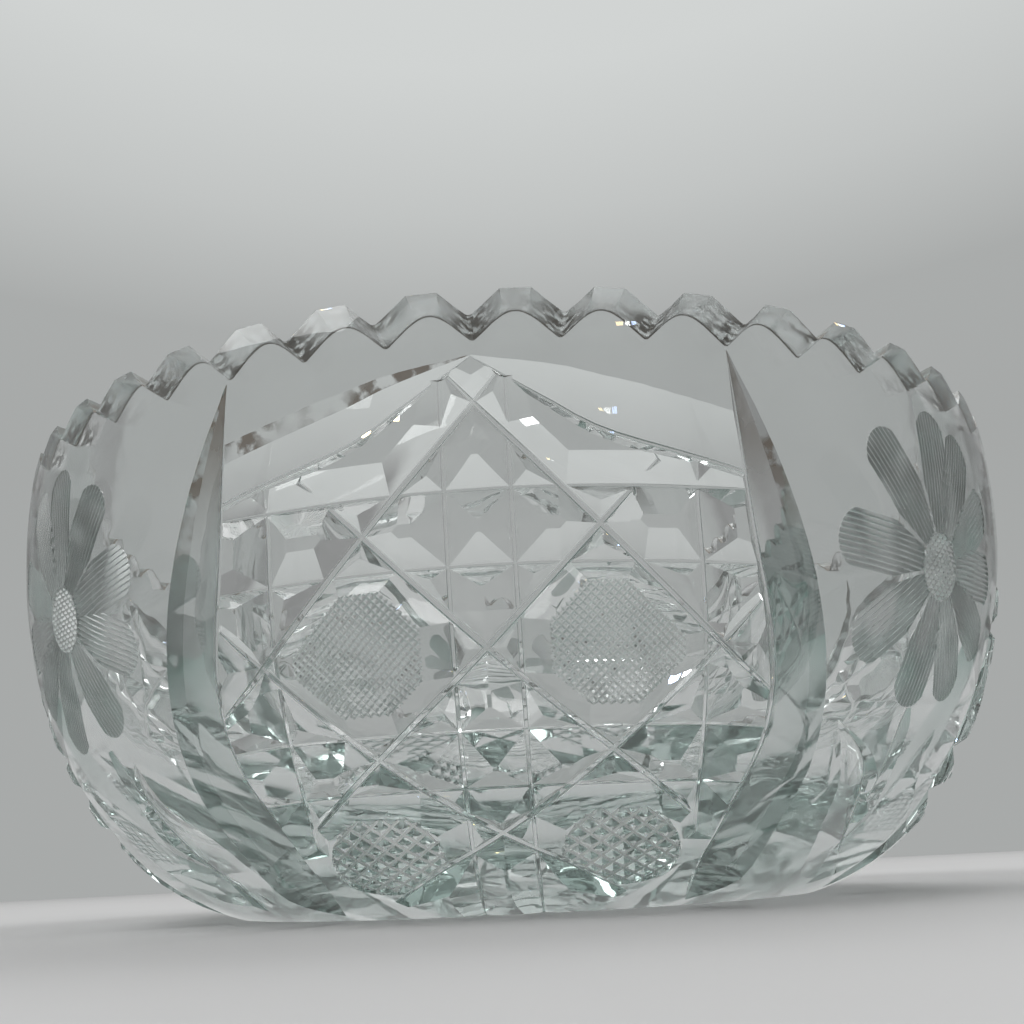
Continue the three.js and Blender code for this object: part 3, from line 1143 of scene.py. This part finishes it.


# Brown specks of dirt in drifts, and a thin painted dark line of shade round the inner edge of the rim
def rimDirtAndDarkEdge(t, place):
    v = rimSoilAndDarkEdge
    x, y, z = (t.part(place, axis) for axis in "XYZ")
    radius = (x * x + y * y) ** 0.5
    inner = (blank["rimRadius"] - blank["rimWall"]) * mm
    # The thin painted dark line of shade round the inner edge of the rim
    line = t.mapRange(radius, inner + v["darkEdgeStart"] * mm, inner + v["darkEdgeEnd"] * mm, v["line"], 0.0)
    bottom, top = blank["height"] - rim["depth"], blank["height"] - v["cleanFrom"]
    low = t.mapRange(z, bottom * mm, top * mm, 1.0, v["least"])
    spots = t.patches(place, *v["specks"]) * t.patches(place, *v["drifts"]) * low * v["most"]
    return 1 - (1 - line) * (1 - spots)


# 0 under the lowest height, and the most above the full one
def highUp(t, place, v):
    return t.mapRange(t.part(place, "Z"), v["lowest"] * mm, v["full"] * mm, 0.0, v["most"])


def bevelDirt(t, place):
    v = bevelSoil
    return t.patches(place, *v["specks"]) * t.patches(place, *v["drifts"]) * highUp(t, place, v)


# The frames' bevels are dull, most of all near the rim, with streaks down them: a dark layer that is partly
# dirt and partly a painted dark reflection of the room
def bevelSmokeAndDarkReflection(t, place):
    drawn = t.node("ShaderNodeVectorMath", {"operation": "MULTIPLY"}, {0: place, 1: smokeAndDarkReflection["drawn"]})
    return highUp(t, place, smokeAndDarkReflection) * t.patches(drawn, *smokeAndDarkReflection["streaks"])


white = (0.85, 0.88, 0.87, 1)
# Roughness of the glass, how thick its film is, the film's colour, and what soils it, also painting shade
# on the rim and the broad bevels
finishLooks = {
    polished: (0.01, 1.0, glass["filmColour"], None),
    satin: (0.25, 4.5, (0.43, 0.45, 0.44, 1), None),
    ground: (0.18, 1.5, white, rimDirtAndDarkEdge),
    edge: (0.3, 4.0, white, None),
    broad: (0.04, 3.8, (0.58, 0.61, 0.6, 1), bevelSmokeAndDarkReflection),
    soiled: (0.06, 2.5, (0.28, 0.3, 0.29, 1), bevelDirt),
    hatched: (0.12, 6.5, white, None),
    coarse: (0.3, 11.0, white, None),
}
for finish, look in finishLooks.items():
    crystal(glassFinishes[finish], *look)
print("materials made")

# The studio, with its own sizes in metres
studio = {
    "roomLight": 0.62,  # even light from all round, which only lights the object
    "backdrop": [  # sine of the height above the horizon, and the tone there
        (0.0, 0.4), (0.17, 0.4), (0.36, 0.39), (0.5, 0.41),
        (0.6, 0.55), (0.7, 0.65), (0.95, 0.7), (1.0, 0.5),
    ],
    "cast": (0.975, 1.005, 0.995),
    "flagTone": 0.26,  # two dark panels stand beside the backdrop, out of the picture
    "flagMiddle": 44.0,
    "flagHalf": 7.0,
    "flagFade": 3,
    "flagTop": 0.6,
    "flagTopFade": 0.08,
    "floorSides": 64,
    "floorRadius": 1.5,
    "floorGap": 0.0002,
    "floor": (0.56, 0.56, 0.56, 1),
    "floorShade": 0.94,
    "floorGrain": (9.0, 3.0, 0.3, 0.7, 0.0, 0.5),
    "floorRoughness": 0.6,
    "floorSeen": 0.56,  # tone of the floor in glass
    "lamps": {  # place, size and power
        "keyLamp": ((-0.7, -0.6, 1.1), 0.8, 7),
        "rearLamp": ((0.5, 0.5, 1.4), 0.8, 6),
    },
    "aim": (0, 0, 0.04),
    "sparks": 7,
    "sparkSize": 0.016,
    "sparkGap": 1.4,
    "sparkPower": 0.016,
    "sparkColours": ((-1, (1.0, 0.75, 0.35)), (0, (1.0, 1.0, 1.0)), (1, (0.45, 0.6, 1.0))),
    "sparkLeast": 0.45,
    "sparkSpread": 1.1,
}


def makeFloor():
    count = studio["floorSides"]
    angles = [2 * math.pi * i / count for i in range(count)]
    ring = [Vector((math.cos(a), math.sin(a), 0)) * studio["floorRadius"] for a in angles]
    mesh = bpy.data.meshes.new("floor")
    mesh.from_pydata(ring, [], [tuple(range(count))])
    material = bpy.data.materials.new("pale floor")
    t = Tree(material)
    grain = t.patches(t.node("ShaderNodeTexCoord", None, None, "Object"), *studio["floorGrain"])
    shaded = tuple(studio["floorShade"] * c for c in studio["floor"][:3]) + (1,)
    colour = t.mixColours(grain, studio["floor"], shaded)
    surface = t.node("ShaderNodeBsdfPrincipled", None, {
        "Base Color": colour, "Roughness": studio["floorRoughness"],
    })
    seen = t.node("ShaderNodeEmission", None, {"Color": (studio["floorSeen"],) * 3 + (1,), "Strength": 1.0})
    both = t.node("ShaderNodeMixShader", None, {0: t.viaGlass(), 1: surface, 2: seen})
    t.node("ShaderNodeOutputMaterial", None, {"Surface": both})
    mesh.materials.append(material)
    floor = bpy.data.objects.new("floor", mesh)
    floor.location.z = -studio["floorGap"]
    bpy.context.scene.collection.objects.link(floor)


# The backdrop is seen by the camera and in the glass; the even room light reaches only dull surfaces
def makeWorld():
    world = bpy.data.worlds.new("studio")
    bpy.context.scene.world = world
    t = Tree(world)
    direction = t.node("ShaderNodeTexCoord", None, None, "Generated")
    x, y, z = (t.part(direction, axis) for axis in "XYZ")
    backdrop = t.node("ShaderNodeValToRGB", {
        "stops": [(at, tuple(tone * part for part in studio["cast"])) for at, tone in studio["backdrop"]],
    }, {0: z})
    azimuth = t.maths("ABSOLUTE", t.maths("ARCTAN2", x, y)) * (180 / math.pi)
    away = t.maths("ABSOLUTE", azimuth - studio["flagMiddle"])
    flag = t.mapRange(away, studio["flagHalf"], studio["flagHalf"] + studio["flagFade"], 1.0, 0.0)
    flag = flag * t.mapRange(z, studio["flagTop"], studio["flagTop"] + studio["flagTopFade"], 1.0, 0.0)
    inGlass = t.viaGlass()
    seen = t.maths("MAXIMUM", t.node("ShaderNodeLightPath", None, None, "Is Camera Ray"), inGlass)
    room = t.mixColours(flag * inGlass, backdrop, (studio["flagTone"],) * 3 + (1,))
    colour = t.mixColours(seen, (studio["roomLight"],) * 3 + (1,), room)
    light = t.node("ShaderNodeBackground", None, {"Color": colour, "Strength": 1.0})
    t.node("ShaderNodeOutputWorld", None, {"Surface": light})


def makeLamp(name, place, size, power, colour=(1, 1, 1)):
    data = bpy.data.lights.new(name, "AREA")
    data.color = colour
    data.shape = "RECTANGLE"
    data.size = size
    data.size_y = size
    data.energy = power
    lamp = bpy.data.objects.new(name, data)
    lamp.location = place
    lamp.rotation_mode = "QUATERNION"
    lamp.rotation_quaternion = (Vector(studio["aim"]) - Vector(place)).to_track_quat("-Z", "Y")
    bpy.context.scene.collection.objects.link(lamp)


# Small lamps, an amber and a blue one beside each white one, give glints and their coloured fringes
def makeSparks():
    for i in range(studio["sparks"]):
        angle = 2 * math.pi * (i + dice.random()) / studio["sparks"]
        height = studio["sparkLeast"] + studio["sparkSpread"] * dice.random()
        for step, colour in studio["sparkColours"]:
            turn = angle + step * studio["sparkSize"] * studio["sparkGap"]
            place = (math.sin(turn), -math.cos(turn), height)
            makeLamp(f"sparkLamp{i + 1}", place, studio["sparkSize"], studio["sparkPower"], colour)


makeFloor()
makeWorld()
for name, (place, size, power) in studio["lamps"].items():
    makeLamp(name, place, size, power)
makeSparks()
print("studio set")
